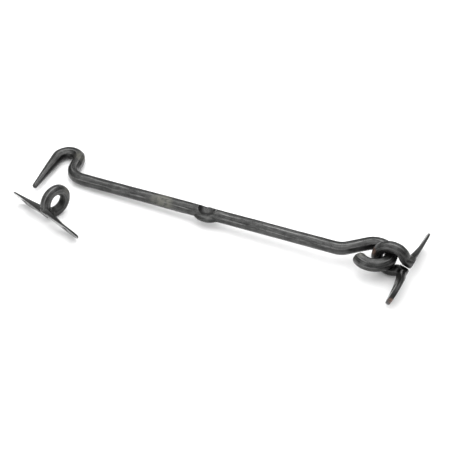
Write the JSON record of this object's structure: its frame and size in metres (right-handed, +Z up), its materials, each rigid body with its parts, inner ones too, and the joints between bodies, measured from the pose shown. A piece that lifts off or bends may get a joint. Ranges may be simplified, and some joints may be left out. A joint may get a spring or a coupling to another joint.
{
  "type": "forged cabin hook",
  "caption": "Forged cabin hook for holding a door or gate: a round bar with an eye, a thumb dimple and a tapered crook, linked to a ring staple, with a loose ring staple to catch it.",
  "frame": {"origin": "middle of the set's footprint on the bench it lies on, at bench height", "axes": "+X along the hook bar from its hooked end to its eye, +Y to the side the crook bulges to, +Z up off the bench"},
  "size_m": [0.2596, 0.0904, 0.0235],
  "materials": {
    "waxed_steel": "hand-forged mild steel, blackened and beeswaxed, dark grey with a soft sheen, worn paler in places and faintly rusty at the bends"
  },
  "bodies": {
    "fixing_staple": {"fixing_staple": "waxed_steel"},
    "hook": {"hook_bar": "waxed_steel"},
    "catch_staple": {"catch_staple": "waxed_steel"}
  },
  "joints": [
    {"name": "hook_swing", "type": "hinge", "parent": "fixing_staple", "child": "hook", "pos_m": [0.10391, 0.01226, 0.0114], "axis": [0.0322, 0, -0.9995], "range_deg": [0, 90]},
    {"name": "catch_lift", "type": "slide", "parent": "fixing_staple", "child": "catch_staple", "axis": [0, 0, 1], "range_m": [0, 0.06]}
  ]
}
